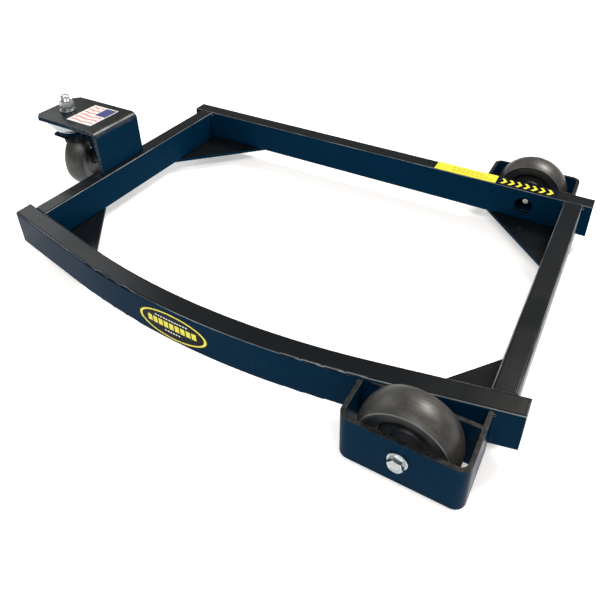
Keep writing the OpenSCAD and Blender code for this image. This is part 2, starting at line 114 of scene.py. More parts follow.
class Shader:
    """A Principled material, with short calls for the nodes used here."""

    def __init__(self, name):
        self.material = bpy.data.materials.new(name)
        self.material.use_nodes = True
        self.tree = self.material.node_tree
        self.bsdf = self.tree.nodes["Principled BSDF"]
        self.coords = self.tree.nodes.new("ShaderNodeTexCoord").outputs["Object"]

    def plug(self, value, socket):
        if isinstance(value, bpy.types.NodeSocket):
            self.tree.links.new(value, socket)
        else:
            socket.default_value = value

    def set(self, **values):
        for name, value in values.items():
            self.plug(value, self.bsdf.inputs[name.replace("_", " ").title().replace("Ior", "IOR")])

    def scaled(self, scale):
        node = self.tree.nodes.new("ShaderNodeMapping")
        node.inputs["Scale"].default_value = scale
        self.tree.links.new(self.coords, node.inputs["Vector"])
        return node.outputs["Vector"]

    def noise(self, scale, detail=4.0, rough=0.6, vector=None, distortion=0.0):
        node = self.tree.nodes.new("ShaderNodeTexNoise")
        node.inputs["Scale"].default_value = scale
        node.inputs["Detail"].default_value = detail
        node.inputs["Roughness"].default_value = rough
        node.inputs["Distortion"].default_value = distortion
        self.tree.links.new(vector or self.coords, node.inputs["Vector"])
        return node.outputs["Fac"]

    def math(self, operation, a, b=0.0, third=0.0):
        node = self.tree.nodes.new("ShaderNodeMath")
        node.operation = operation
        node.inputs[2].default_value = third
        self.plug(a, node.inputs[0])
        self.plug(b, node.inputs[1])
        return node.outputs[0]

    def span(self, value, lo, hi, to_lo=0.0, to_hi=1.0):
        """Smooth change from to_lo to to_hi as value goes from lo to hi."""
        node = self.tree.nodes.new("ShaderNodeMapRange")
        node.interpolation_type = "SMOOTHSTEP"
        for i, v in enumerate((value, lo, hi, to_lo, to_hi)):
            self.plug(v, node.inputs[i])
        return node.outputs[0]

    def mix(self, factor, a, b):
        node = self.tree.nodes.new("ShaderNodeMix")
        node.data_type = "RGBA"
        self.plug(factor, node.inputs[0])
        self.plug(a, node.inputs[6])
        self.plug(b, node.inputs[7])
        return node.outputs[2]

    def upward(self):
        """Z of the normal in the piece's own axes: 1 on top faces, 0 on upright ones."""
        return self.axes(self.tree.nodes.new("ShaderNodeTexCoord").outputs["Normal"])[2]

    def axes(self, vector=None):
        node = self.tree.nodes.new("ShaderNodeSeparateXYZ")
        self.tree.links.new(vector or self.coords, node.inputs[0])
        return node.outputs

    def bump(self, height, distance, strength=1.0, under=None):
        node = self.tree.nodes.new("ShaderNodeBump")
        node.inputs["Distance"].default_value = distance
        node.inputs["Strength"].default_value = strength
        self.tree.links.new(height, node.inputs["Height"])
        if under is not None:
            self.tree.links.new(under, node.inputs["Normal"])
        return node.outputs["Normal"]


def rgb(r, g, b):
    return (r, g, b, 1.0)


def paint(name, wear=None, gloss=0.2, soil=1.0, ridge_z=None):
    """Enamel with orange peel, faint dust and scuffs, and colour that carries painted reflection:
    navy on upright faces and charcoal on level ones, picked by the normal, with a blue specular
    tint on upright faces. A light line along its rounded upper edges is a painted highlight.

    wear(shader) gives a mask, 0 to 1, of where the paint has worn through to steel. The
    painted highlight line is found from the normals, or lies just under ridge_z where that is
    given."""
    s = Shader(name)
    cloud = s.noise(9, 3, 0.55)
    grain = s.noise(900, 2, 0.5)
    peel = s.noise(420, 2, 0.45)
    dust = s.math("MULTIPLY", s.span(s.noise(650, 3, 0.7), 0.63, 0.76),
                  s.span(s.noise(24, 4, 0.6), 0.42, 0.68))
    scuffs = s.span(s.noise(1, 5, 0.7, s.scaled((60, 420, 420)), 0.4), 0.66, 0.74)
    up = s.upward()
    level = s.span(s.math("ABSOLUTE", up), 0.25, 0.85)
    # Painted highlight: a thin light line, in patches, along the rounded upper edges where a lamp's
    # reflection lies.
    if ridge_z is None:
        ridge = s.math("MULTIPLY", s.span(up, 0.55, 0.68), s.span(up, 0.90, 0.77))
    else:
        z = s.axes()[2]
        ridge = s.math("MULTIPLY", s.span(z, ridge_z - 1.5 * MM, ridge_z - 1.1 * MM),
                       s.span(z, ridge_z - 0.35 * MM, ridge_z - 0.75 * MM))
    painted_edge_highlight = s.math("MULTIPLY", ridge, s.span(s.noise(22, 5, 0.6), 0.36, 0.66, 0.25, 0.85))
    # Painted reflection: upright faces navy and level faces charcoal, picked by the normal.
    upright = s.mix(cloud, rgb(0.0003, 0.0115, 0.0300), rgb(0.0006, 0.0180, 0.0440))
    flat = s.mix(cloud, rgb(0.0030, 0.0042, 0.0060), rgb(0.0065, 0.0082, 0.0100))
    colour = s.mix(level, upright, flat)
    # Painted highlight: the light grey-blue colour of that edge line.
    colour = s.mix(painted_edge_highlight, colour, rgb(0.20, 0.23, 0.25))
    colour = s.mix(s.math("MULTIPLY", dust, 0.22 * soil), colour, rgb(0.16, 0.165, 0.16))
    colour = s.mix(s.math("MULTIPLY", scuffs, 0.05 * soil), colour, rgb(0.12, 0.13, 0.14))
    rough = s.math("ADD", s.span(cloud, 0.3, 0.7, gloss, gloss + 0.1),
                   s.math("MULTIPLY", dust, 0.25))
    height = s.math("ADD", s.math("MULTIPLY", peel, 0.8), s.math("MULTIPLY", grain, 0.2))
    metallic = 0.0
    if wear is not None:
        mask = wear(s)
        steel = s.mix(s.noise(160, 4, 0.65), rgb(0.045, 0.038, 0.030), rgb(0.17, 0.16, 0.145))
        colour = s.mix(mask, colour, steel)
        rough = s.math("ADD", rough, s.math("MULTIPLY", mask, 0.24))
        metallic = s.math("MULTIPLY", mask, 0.55)
        height = s.math("SUBTRACT", height, s.math("MULTIPLY", mask, 1.5))
    s.set(base_color=colour, roughness=rough, metallic=metallic,
          normal=s.bump(height, 0.00004, 0.8))
    # Painted reflection: specular tint blue on upright faces and warm on level ones; upright faces
    # also reflect less.
    s.set(specular_tint=s.mix(level, rgb(0.20, 0.62, 1.0), rgb(1.0, 0.97, 0.92)),
          specular_ior_level=s.math("MULTIPLY_ADD", level, 0.12, third=0.015))
    return s.material


def top_edge_wear(z_top, depth=1.1 * MM, amount=0.8):
    """Wear along an upper edge that lies at z_top."""
    def mask(s):
        z = s.axes()[2]
        near = s.span(z, z_top - depth, z_top - 0.15 * MM)
        patchy = s.span(s.noise(180, 5, 0.7), 0.36, 0.62, 0.15, 1.0)
        return s.math("MULTIPLY", s.math("MULTIPLY", near, patchy), amount)
    return mask


def bracket_wear(s):
    """Rubbed along the bracket's outer bend and its front edge."""
    x, y, z = s.axes()
    across = s.math("SUBTRACT", s.math("ADD", x, z), bracket_hi.x + bracket_hi.z)
    bend = s.span(across, -11.5 * MM, -6.2 * MM)
    bend = s.math("MULTIPLY", bend, s.span(s.noise(60, 6, 0.7), 0.30, 0.72, 0.04, 0.42))
    edge = s.span(y, bracket_lo.y + 1.3 * MM, bracket_lo.y + 0.2 * MM)
    edge = s.math("MULTIPLY", edge, s.span(s.noise(260, 4, 0.7), 0.42, 0.62, 0.05, 0.7))
    edge = s.math("MULTIPLY", edge, s.span(x, bracket_lo.x + 40 * MM, bracket_hi.x - 20 * MM))
    return s.math("MAXIMUM", bend, edge)


def plating(name, dark, light, rough=0.26, tint=None):
    """Zinc plating: soft crystal mottling, fine brushing and dulled patches."""
    s = Shader(name)
    mottle = s.noise(260, 4, 0.6)
    brushed = s.noise(1, 3, 0.6, s.scaled((300, 300, 2200)))
    dull = s.span(s.noise(70, 4, 0.6), 0.4, 0.72)
    colour = s.mix(mottle, dark, light)
    # tint colours the dull patches: on the zinc a painted blue reflection, on the cup a greyer
    # tone.
    if tint is not None:
        colour = s.mix(s.math("MULTIPLY", dull, 0.35), colour, tint)
    s.set(base_color=colour, metallic=1.0,
          roughness=s.math("ADD", s.math("MULTIPLY", brushed, 0.12),
                           s.math("ADD", s.math("MULTIPLY", dull, 0.14), rough - 0.06)),
          normal=s.bump(s.math("ADD", mottle, s.math("MULTIPLY", brushed, 0.6)), 0.00003, 0.6))
    return s.material


def wheel_rubber(name, lip):
    """Hard rubber. The piece's own Z is the axle, so distances from it tell tread from side."""
    s = Shader(name)
    x, y, _ = s.axes()
    r = s.math("POWER", s.math("ADD", s.math("MULTIPLY", x, x), s.math("MULTIPLY", y, y)), 0.5)
    tread = s.span(r, lip - 0.2 * MM, lip + 1.2 * MM)
    rolled = s.noise(1, 5, 0.7, s.scaled((90, 90, 420)), 0.5)
    blotch = s.noise(48, 5, 0.65)
    nicks = s.span(s.noise(420, 4, 0.75), 0.63, 0.72)
    worn = s.math("MULTIPLY", tread, s.span(s.math("ADD", s.math("MULTIPLY", rolled, 0.55),
                                                   s.math("MULTIPLY", blotch, 0.45)),
                                            0.42, 0.66, 0.25, 1.0))
    colour = s.mix(blotch, rgb(0.011, 0.013, 0.016), rgb(0.021, 0.024, 0.028))
    colour = s.mix(worn, colour, rgb(0.050, 0.046, 0.039))
    colour = s.mix(s.math("MULTIPLY", nicks, 0.16), colour, rgb(0.16, 0.148, 0.128))
    # Painted highlight: a light ring along the lip at the edge of the tread.
    ring = s.math("MULTIPLY", s.span(s.math("ABSOLUTE", s.math("SUBTRACT", r, lip)),
                                     0.9 * MM, 0.2 * MM), 0.45)
    colour = s.mix(ring, colour, rgb(0.20, 0.20, 0.195))
    s.set(base_color=colour, roughness=s.span(rolled, 0.3, 0.75, 0.34, 0.5),
          normal=s.bump(s.math("ADD", rolled, s.math("MULTIPLY", nicks, -0.8)), 0.00005, 0.5))
    return s.material


def plain_grain(name, a, b, scale=60.0, rough=0.4, bump_mm=0.02, shine=0.5):
    """Two close colours in fine grain: nylon, printed film and the like."""
    s = Shader(name)
    grain = s.noise(scale, 4, 0.6)
    fine = s.noise(scale * 9, 3, 0.6)
    s.set(base_color=s.mix(grain, a, b),
          roughness=s.span(fine, 0.3, 0.7, rough - 0.06, rough + 0.08),
          normal=s.bump(fine, bump_mm * MM, 0.5))
    s.bsdf.inputs["Specular IOR Level"].default_value = shine
    return s.material


# ---------------------------------------------------------------- mesh helpers


def add_piece(bm, name, material, body, replaces=(), sharp=32.0, matrix=None):
    """Turns bm into a piece: smooth faces, sharp edges past an angle, riding on a body."""
    bmesh.ops.recalc_face_normals(bm, faces=bm.faces)
    for face in bm.faces:
        face.smooth = True
    for edge in bm.edges:
        edge.smooth = not (len(edge.link_faces) == 2
                           and edge.calc_face_angle(0.0) > math.radians(sharp))
    mesh = bpy.data.meshes.new(name)
    bm.to_mesh(mesh)
    bm.free()
    piece = bpy.data.objects.new(name, mesh)
    bpy.context.scene.collection.objects.link(piece)
    if matrix is not None:
        piece.matrix_world = matrix
    mesh.materials.append(material)
    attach(piece, body)
    if replaces:
        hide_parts(*replaces)
    return piece


def weighted(piece):
    """Keeps large flat faces flat in the shading beside small rounded ones."""
    modifier = piece.modifiers.new("weighted", "WEIGHTED_NORMAL")
    modifier.keep_sharp = True
    return piece


def ring_of(bm, points):
    return [bm.verts.new(p) for p in points]


def bridge(bm, a, b):
    for i in range(len(a)):
        j = (i + 1) % len(a)
        bm.faces.new((a[i], a[j], b[j], b[i]))


def stack_rings(bm, rings, closed=False):
    """Skins a list of point rings. Open stacks get a face over each end."""
    made = [ring_of(bm, ring) for ring in rings]
    for a, b in zip(made, made[1:]):
        bridge(bm, a, b)
    if closed:
        bridge(bm, made[-1], made[0])
    else:
        bm.faces.new(made[0][::-1])
        bm.faces.new(made[-1])
    return made


def circle(radius, z, count, phase=0.0):
    step = 2 * math.pi / count
    return [(radius * math.cos(i * step + phase), radius * math.sin(i * step + phase), z)
            for i in range(count)]


def lathe(bm, profile, count=96, closed=True):
    """Turns (radius, height) points round Z. A closed profile makes a ring-shaped solid."""
    stack_rings(bm, [circle(r, z, count) for r, z in profile], closed)


def rounded(points, radius, steps=4):
    """Rounds every corner of a closed profile of (x, y) points by up to radius."""
    out = []
    count = len(points)
    for i, corner in enumerate(points):
        c = Vector(corner)
        a, b = Vector(points[i - 1]) - c, Vector(points[(i + 1) % count]) - c
        reach = min(radius, a.length * 0.45, b.length * 0.45)
        start, end = c + a.normalized() * reach, c + b.normalized() * reach
        for k in range(steps + 1):
            t = k / steps
            p = start * (1 - t) ** 2 + c * 2 * t * (1 - t) + end * t * t
            out.append((p.x, p.y))
    return out


def refined(node, name, material, bevel=0.35 * MM, body="frame"):
    """The node's own shape with its hard edges broken, as painted steel has them."""
    bm = bmesh.new()
    bm.from_mesh(nodes[node].data)
    bmesh.ops.remove_doubles(bm, verts=bm.verts, dist=1e-6)
    bmesh.ops.dissolve_limit(bm, angle_limit=math.radians(0.4), verts=bm.verts, edges=bm.edges)
    hard = [e for e in bm.edges
            if len(e.link_faces) == 2 and e.calc_face_angle(0.0) > math.radians(38)]
    bmesh.ops.bevel(bm, geom=hard, offset=bevel, segments=2, profile=0.5, affect="EDGES",
                    clamp_overlap=True)
    return weighted(add_piece(bm, name, material, body, (node,), sharp=40))


def aimed(origin, axis, twist=0.0):
    """Matrix that puts local Z along axis at origin."""
    turn = Vector(axis).to_track_quat("Z", "Y").to_matrix().to_4x4()
    return Matrix.Translation(origin) @ turn @ Matrix.Rotation(twist, 4, "Z")


# ---------------------------------------------------------------- hardware


def hex_rings(across, height, z0=0.0, chamfer_low=False):
    """Rings of a hexagon head: flat sides, turned-off corners on top and optionally below."""
    count = 72
    half = across / 2
    angles = [2 * math.pi * i / count for i in range(count)]
    reach = [half / math.cos((a + math.pi / 6) % (math.pi / 3) - math.pi / 6) for a in angles]

    def ring(radii, heights):
        return [(r * math.cos(a), r * math.sin(a), h)
                for a, r, h in zip(angles, radii, heights)]

    drop = [(r - half * 0.96) * 0.55 for r in reach]
    cap = [min(r, half * 0.96) for r in reach]
    rings = []
    if chamfer_low:
        rings.append(ring(cap, [z0] * count))
        rings.append(ring(reach, [z0 + d for d in drop]))
    else:
        rings.append(ring(reach, [z0] * count))
    rings.append(ring(reach, [z0 + height - d for d in drop]))
    rings.append(ring(cap, [z0 + height] * count))
    return rings


def hex_head(name, matrix, across, height, material, body, replaces,
             shank=(0.0, 0.0), recess=True):
    """Bolt: dished hexagon head above local z=0, and a shank of (radius, length) below."""
    bm = bmesh.new()
    rings = hex_rings(across, height)
    if recess:
        top = rings[-1]
        for scale, dip in ((0.80, 0.0), (0.74, 0.45 * MM), (0.3, 0.6 * MM)):
            rings.append([(x * scale, y * scale, height - dip) for x, y, _ in top])
    radius, length = shank
    if length:
        under = [circle(radius, -length, 72), circle(radius, -0.01 * MM, 72)]
        rings = [circle(radius - 0.8 * MM, -length - 0.8 * MM, 72)] + under + rings
    stack_rings(bm, rings)
    return add_piece(bm, name, material, body, replaces, 28, matrix)


def threaded(rings_from, rings_to, radius, pitch, depth, count=48, steps=8):
    """Rings of a V thread round local Z between two heights."""
    rings = []
    total = int((rings_to - rings_from) / pitch * steps)
    for k in range(total + 1):
        z = rings_from + k * pitch / steps
        fade = min(1.0, (rings_to - z) / (1.5 * pitch), (z - rings_from) / (0.5 * pitch) + 0.05)
        ring = []
        for i in range(count):
            a = 2 * math.pi * i / count
            phase = (z / pitch - i / count) % 1.0
            groove = abs(phase - 0.5) * 2
            r = radius - depth * (1 - groove) * max(fade, 0.0)
            ring.append((r * math.cos(a), r * math.sin(a), z))
        rings.append(ring)
    return rings


def washer(name, matrix, outer, inner, thick, material, body, replaces, sag=0.0):
    """Stamped washer with rolled corners on both faces; sag drops its outer edge."""
    bm = bmesh.new()
    profile = rounded([(inner, 0), (outer, -sag), (outer, thick - sag), (inner, thick)],
                      0.4 * MM, 3)
    lathe(bm, profile, 64)
    return add_piece(bm, name, material, body, replaces, 40, matrix)


def nylock(name, matrix, across, height, bore, material, body, replaces):
    """Lock nut: hexagon, then the rolled collar over its insert."""
    bm = bmesh.new()
    rings = hex_rings(across, height * 0.68, chamfer_low=True)
    collar = across / 2 * 0.93
    for r, z in ((collar, 0.70), (collar, 0.90), (collar * 0.93, 0.98), (collar * 0.84, 1.0),
                 (bore + 0.6 * MM, 0.97), (bore, 0.93)):
        rings.append(circle(r, z * height, 72))
    rings.append(circle(bore, 0.0, 72))
    stack_rings(bm, rings, closed=True)
    return add_piece(bm, name, material, body, replaces, 28, matrix)


def bead_rings(start, end, out, radius, seed):
    """Rings of a weld bead along a line, bulging towards out, with crescent ripples."""
    start, end, out = Vector(start), Vector(end), Vector(out).normalized()
    along = (end - start).normalized()
    side = along.cross(out)
    length = (end - start).length
    pitch, count = 1.9 * MM, 16
    rings = []
    steps = max(8, int(length / (pitch / 5)))
    for k in range(steps + 1):
        s = length * k / steps
        taper = min(1.0, 0.45 + s / (1.5 * radius), 0.45 + (length - s) / (1.5 * radius))
        ring = []
        for i in range(count):
            a = 2 * math.pi * i / count
            late = s + 0.7 * radius * math.cos(a)
            ripple = 0.055 * math.sin(2 * math.pi * late / pitch)
            wobble = 0.22 * noise.noise(Vector((late * 160, seed * 7.3, a * 0.8)))
            r = radius * taper * (1 + ripple + wobble)
            ring.append(start + along * s + (out * math.cos(a) + side * math.sin(a)) * r)
        rings.append(ring)
    return rings


def weld(name, lines, radius, node, material):
    """One piece from several beads, each (start, end, outward direction)."""
    bm = bmesh.new()
    for seed, (start, end, out) in enumerate(lines):
        stack_rings(bm, bead_rings(start, end, out, radius, seed))
    return add_piece(bm, name, material, "frame", (node,), 60)


# ---------------------------------------------------------------- materials

strap_top = strap_hi.z
bracket_top = bracket_hi.z

enamel = paint("enamel", ridge_z=rail_z1)
enamel_strap = paint("enamel_strap", top_edge_wear(strap_top, 0.9 * MM, 0.2))
enamel_bracket = paint("enamel_bracket", bracket_wear)
enamel_weld = paint("enamel_weld", gloss=0.3, soil=1.6)
enamel_fork = paint("enamel_fork", gloss=0.3)
# Painted reflection: the blue tint in the zinc's dull patches.
zinc = plating("zinc", rgb(0.34, 0.36, 0.37), rgb(0.62, 0.64, 0.64), 0.3,
               rgb(0.22, 0.38, 0.55))
zinc_cup = plating("zinc_cup", rgb(0.34, 0.38, 0.41), rgb(0.62, 0.67, 0.71), 0.3,
                   rgb(0.55, 0.56, 0.52))
steel_ball = plating("steel_ball", rgb(0.62, 0.63, 0.64), rgb(0.78, 0.79, 0.80), 0.14)
nylon = plain_grain("nylon", rgb(0.60, 0.58, 0.52), rgb(0.72, 0.70, 0.64), 90, 0.42)
film_black = plain_grain("film_black", rgb(0.0015, 0.0035, 0.0075), rgb(0.004, 0.008, 0.014),
                         60, 0.30, 0.008, 0.05)
film_yellow = plain_grain("film_yellow", rgb(0.62, 0.57, 0.022), rgb(0.69, 0.64, 0.040),
                          60, 0.34, 0.008)
film_olive = plain_grain("film_olive", rgb(0.13, 0.12, 0.01), rgb(0.20, 0.18, 0.02),
                         60, 0.34, 0.008)
film_white = plain_grain("film_white", rgb(0.66, 0.66, 0.65), rgb(0.78, 0.78, 0.77),
                         60, 0.36, 0.008)
film_red = plain_grain("film_red", rgb(0.56, 0.12, 0.12), rgb(0.66, 0.20, 0.19),
                       60, 0.36, 0.008)
film_blue = plain_grain("film_blue", rgb(0.02, 0.025, 0.13), rgb(0.035, 0.04, 0.19),
                        60, 0.36, 0.008)


# ---------------------------------------------------------------- frame

for node, material in (("rear_rail", enamel), ("left_rail", enamel), ("right_rail", enamel),
                       ("bow_rail", enamel), ("front_backing_plate", enamel_strap),
                       ("rear_backing_plate", enamel_strap), ("rail_end_caps", enamel),
                       ("front_wheel_strap", enamel_strap), ("rear_wheel_strap", enamel_strap),
                       ("caster_bracket", enamel_bracket)):
    refined(node, "painted_" + node, material)


def corner_plate(node):
    """One triangular plate over both of the node's solids, with its edges broken."""
    bm = bmesh.new()
    for vertex in nodes[node].data.vertices:
        bm.verts.new(vertex.co)
    bmesh.ops.convex_hull(bm, input=bm.verts)
    loose = [v for v in bm.verts if not v.link_faces]
    bmesh.ops.delete(bm, geom=loose, context="VERTS")
    bmesh.ops.dissolve_limit(bm, angle_limit=math.radians(0.4), verts=bm.verts, edges=bm.edges)
    bmesh.ops.bevel(bm, geom=list(bm.edges), offset=0.5 * MM, segments=2, profile=0.5,
                    affect="EDGES")
    weighted(add_piece(bm, "painted_" + node, enamel, "frame", (node,), 40))


for corner in ("front_left", "front_right", "rear_left", "rear_right"):
    corner_plate("corner_plate_" + corner)


# ---------------------------------------------------------------- welds

weld_z0, weld_z1 = rail_z0 + TUBE_R, rail_z1 - TUBE_R


def upright(x, y, out, z0=weld_z0, z1=weld_z1):
    return Vector((x, y, z0)), Vector((x, y, z1)), Vector(out + (0,))


corner_lines = []
for x, way in ((left_hi.x, 1), (right_lo.x, -1), (left_lo.x, -1), (right_hi.x, 1)):
    corner_lines.append(upright(x, bow_y(x, TUBE_W), (way, 1)))
    corner_lines.append(upright(x, rear_lo.y, (way, -1)))
weld("weld_corners", corner_lines, 2.9 * MM, "corner_welds", enamel_weld)

box_lines = []
box_z1 = strap_hi.z - 2 * MM
for x, way in ((strap_lo.x, -1), (strap_hi.x, 1)):
    box_lines.append(upright(x, bow_y(x), (way, -1), weld_z0, box_z1))
    box_lines.append(upright(x, rear_hi.y, (way, 1), weld_z0, box_z1))
weld("weld_wheel_boxes", box_lines, 2.9 * MM, "wheel_box_welds", enamel_weld)

wall_x = bracket_hi.x - BRACKET_T
weld("weld_bracket", [(Vector((wall_x, bracket_lo.y + 3 * MM, rail_z1)),
                       Vector((wall_x, bracket_hi.y - 3 * MM, rail_z1)), Vector((-1, 0, 1)))],
     3.8 * MM, "bracket_weld", enamel_weld)

plate_lines = []
for x, way in ((left_hi.x, 1), (right_lo.x, -1)):
    lap_x = x - way * PLATE_LAP
    for y, back in ((bow_y(x, TUBE_W), 1), (rear_lo.y, -1)):
        plate_lines.append((Vector((lap_x, y + back * 12 * MM, rail_z0)),
                            Vector((lap_x, y + back * 70 * MM, rail_z0)),
                            Vector((-way, 0, -1))))
    slope = math.tan(BOW_SLOPE)
    ends = [Vector((x + way * d, bow_y(x, TUBE_W - PLATE_LAP) - d * slope, rail_z0))
            for d in (12 * MM, 70 * MM)]
    plate_lines.append((ends[0], ends[1], Vector((0, -1, -1))))
    plate_lines.append((Vector((x + way * 12 * MM, rear_lo.y + PLATE_LAP, rail_z0)),
                        Vector((x + way * 70 * MM, rear_lo.y + PLATE_LAP, rail_z0)),
                        Vector((0, 1, -1))))
weld("weld_corner_plates", plate_lines, 2.8 * MM, "corner_plate_welds", enamel_weld)


# ---------------------------------------------------------------- fixed wheels and axles

WASHER_T = 2.1 * MM
WASHER_R = 10.3 * MM
AXLE_R = 4.75 * MM
AXLE_HEX = 14.3 * MM
HEAD_H = 6.2 * MM
NUT_H = 10 * MM
STACK = 55.3 * MM
WHEEL_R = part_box("front_wheel")[1].z - joints["front_wheel_spin"]["pos_m"][2]
LIP_R = WHEEL_R - 5.5 * MM
TREAD_W, HUB_LEN = 38 * MM, 41.3 * MM
CASTER_TREAD_W, CASTER_HUB_LEN = 34 * MM, 37 * MM


def wheel_profile(tread, hub, bore=8.5 * MM):
    """Closed (radius, height) profile of a moulded wheel, symmetrical about its middle."""
    half, crown = tread / 2, 5 * MM
    crown_r = (half * half + crown * crown) / (2 * crown)
    side = [(bore, hub / 2), (14.3 * MM, hub / 2), (15.0 * MM, hub / 2 - 0.7 * MM),
            (15.7 * MM, 8.6 * MM), (17.2 * MM, 7.1 * MM), (23.0 * MM, 6.9 * MM),
            (29.6 * MM, 7.2 * MM), (31.3 * MM, 8.4 * MM), (32.6 * MM, half - 4.6 * MM),
            (33.6 * MM, half - 3.6 * MM), (38.0 * MM, half - 2.6 * MM),
            (LIP_R - 3.1 * MM, half - 1.9 * MM), (LIP_R - 2.1 * MM, half - 1.2 * MM),
            (LIP_R - 1.3 * MM, half - 0.25 * MM), (LIP_R - 0.4 * MM, half - 0.1 * MM)]
    arc = []
    for k in range(15):
        z = (half - 0.5 * MM) * (1 - k / 15) + 0.45 * MM * (k / 15)
        arc.append((WHEEL_R - 0.12 * MM - crown_r + math.sqrt(crown_r ** 2 - z * z), z))
    seam = [(WHEEL_R, 0.25 * MM), (WHEEL_R, -0.25 * MM)]
    upper = side + arc
    return upper + seam + [(r, -z) for r, z in reversed(upper)]


def wheel(name, node, body, centre, axis, tread, hub):
    bm = bmesh.new()
    lathe(bm, wheel_profile(tread, hub), 144)
    rubber = wheel_rubber("rubber_" + name, LIP_R)
    return add_piece(bm, name, rubber, body, (node,), 24,
                     aimed(centre, axis))


for side, face_y, inward in (("front", strap_lo.y, 1), ("rear", rear_strap_hi.y, -1)):
    spin = joints[side + "_wheel_spin"]
    centre = Vector(spin["pos_m"])
    face = Vector((centre.x, face_y, centre.z))
    along = Vector((0, inward, 0))
    wheel(side + "_moulded_wheel", side + "_wheel", side + "_wheel", centre, along,
          TREAD_W, HUB_LEN)
    washer(side + "_washer", aimed(face, -along), WASHER_R, AXLE_R + 0.15 * MM, WASHER_T, zinc,
           "frame", (side + "_axle_washer",))
    hex_head(side + "_bolt", aimed(face - along * WASHER_T, -along, 0.30), AXLE_HEX, HEAD_H,
             zinc, "frame", (side + "_axle_bolt",),
             (AXLE_R, STACK + WASHER_T + NUT_H + 1 * MM))
    nylock(side + "_nut", aimed(face + along * STACK, along), AXLE_HEX, NUT_H,
           AXLE_R + 0.05 * MM, enamel_fork, "frame", (side + "_axle_nut",))

for node, material in (("front_axle_sleeve", zinc), ("rear_axle_sleeve", zinc),
                       ("caster_axle_sleeve", zinc), ("front_thrust_washers", zinc),
                       ("rear_thrust_washers", zinc), ("caster_thrust_washers", zinc),
                       ("front_wheel_bushing", nylon), ("rear_wheel_bushing", nylon),
                       ("caster_wheel_bushing", nylon), ("swivel_balls", steel_ball)):
    for material_slot in nodes[node].material_slots:
        material_slot.material = material


# ---------------------------------------------------------------- caster

STEM_R = 6.35 * MM
STEM_HEX = 19.05 * MM
STEM_NUT_H = 11 * MM
STEM_WASHER_T = 2.5 * MM
LOCK_WASHER_T = 3 * MM

SHEET_T = 4 * MM
FORK_HALF = 24.7 * MM
CUP_R = 36 * MM

swivel = Vector(joints["caster_swivel"]["pos_m"])
CROWN_Z = swivel.z
caster_spin = joints["caster_wheel_spin"]
caster_centre = Vector(caster_spin["pos_m"])
caster_axis = Vector(caster_spin["axis"])
trail = (caster_centre - swivel).to_2d().length
fork_frame = (Matrix.Translation((swivel.x, swivel.y, 0))
              @ Matrix.Rotation(math.atan2(caster_axis.y, caster_axis.x), 4, "Z"))
stem_base = Matrix.Translation((swivel.x, swivel.y, 0))

wheel("caster_moulded_wheel", "caster_wheel", "caster_wheel", caster_centre, caster_axis,
      CASTER_TREAD_W, CASTER_HUB_LEN)


def stem():
    """Flanged stem: riveted foot, plain shank through the fork and a threaded upper end."""
    bm = bmesh.new()
    thread_from = bracket_top - 2 * MM
    top = bracket_top + STEM_WASHER_T + LOCK_WASHER_T + STEM_NUT_H + 10 * MM
    rings = [circle(7.4 * MM, CROWN_Z - 4.3 * MM, 48), circle(8.9 * MM, CROWN_Z - 3.9 * MM, 48),
             circle(10.9 * MM, CROWN_Z - 1.0 * MM, 48), circle(10.9 * MM, CROWN_Z - 0.32 * MM, 48),
             circle(STEM_R, CROWN_Z - 0.3 * MM, 48), circle(STEM_R, thread_from - 0.5 * MM, 48)]
    rings += threaded(thread_from, top - 2 * MM, STEM_R, 1.95 * MM, 0.75 * MM)
    rings += [circle(STEM_R - 0.5 * MM, top - 1.6 * MM, 48),
              circle(STEM_R - 1.6 * MM, top - 0.2 * MM, 48), circle(STEM_R - 2.2 * MM, top, 48)]
    stack_rings(bm, rings)
    add_piece(bm, "threaded_stem", zinc, "frame", ("stem_bolt",), 30, stem_base)


def lock_washer(z, outer=10.75 * MM, inner=6.5 * MM, thick=LOCK_WASHER_T):
    """Split spring washer, its two ends slightly out of line."""
    bm = bmesh.new()
    steps, start, sweep = 60, math.radians(-56), math.radians(352)
    rings = []
    for k in range(steps + 1):
        a = start + sweep * k / steps
        lift = 0.35 * MM * (k / steps - 0.5)
        profile = rounded([(inner, 0.2 * MM), (outer, 0.2 * MM), (outer, thick - 0.2 * MM),
                           (inner, thick - 0.2 * MM)], 0.35 * MM, 2)
        rings.append([(r * math.cos(a), r * math.sin(a), z + h + lift) for r, h in profile])
    stack_rings(bm, rings)
    add_piece(bm, "split_washer", zinc, "frame", ("stem_lock_washer",), 40, stem_base)


def stem_nut(z):
    bm = bmesh.new()
    rings = hex_rings(STEM_HEX, STEM_NUT_H, z, chamfer_low=True)
    bore = STEM_R + 0.05 * MM
    rings += [circle(bore + 0.9 * MM, z + STEM_NUT_H, 72), circle(bore, z + STEM_NUT_H - MM, 72),
              circle(bore, z + MM, 72), circle(bore + 0.9 * MM, z, 72)]
    stack_rings(bm, rings, closed=True)
    add_piece(bm, "stem_hex_nut", zinc, "frame", ("stem_nut",), 28,
              stem_base @ Matrix.Rotation(0.25, 4, "Z"))


